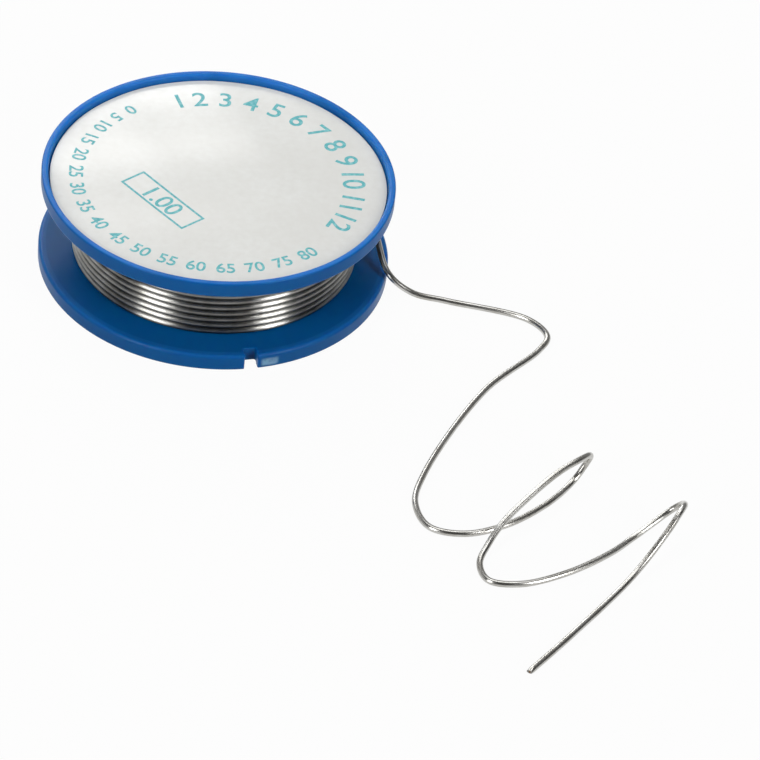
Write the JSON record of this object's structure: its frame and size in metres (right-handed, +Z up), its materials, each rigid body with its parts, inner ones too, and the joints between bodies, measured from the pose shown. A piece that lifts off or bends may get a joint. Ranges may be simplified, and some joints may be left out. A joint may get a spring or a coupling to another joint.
{
  "type": "solder wire spool",
  "caption": "Small moulded spool of solder wire: flanges round a full winding, a round label in the top recess, and a free wire end curling away.",
  "frame": {"origin": "centre of the lower flange's outer face, on the spool's axis", "axes": "+Z up along the spool's axis; the free wire leaves towards +X and ends towards -Y"},
  "size_m": [0.1046, 0.1169, 0.017],
  "materials": {
    "moulded_blue": "smooth injection-moulded blue plastic",
    "label_paper": "white coated paper, printed in teal",
    "solder": "drawn soft solder wire, bright with faint draw marks"
  },
  "bodies": {
    "root": {"lower_spool_half": "moulded_blue", "upper_spool_half": "moulded_blue", "label_disc": "label_paper", "inner_winding": "solder", "outer_winding": "solder", "free_wire": "solder"}
  },
  "joints": []
}
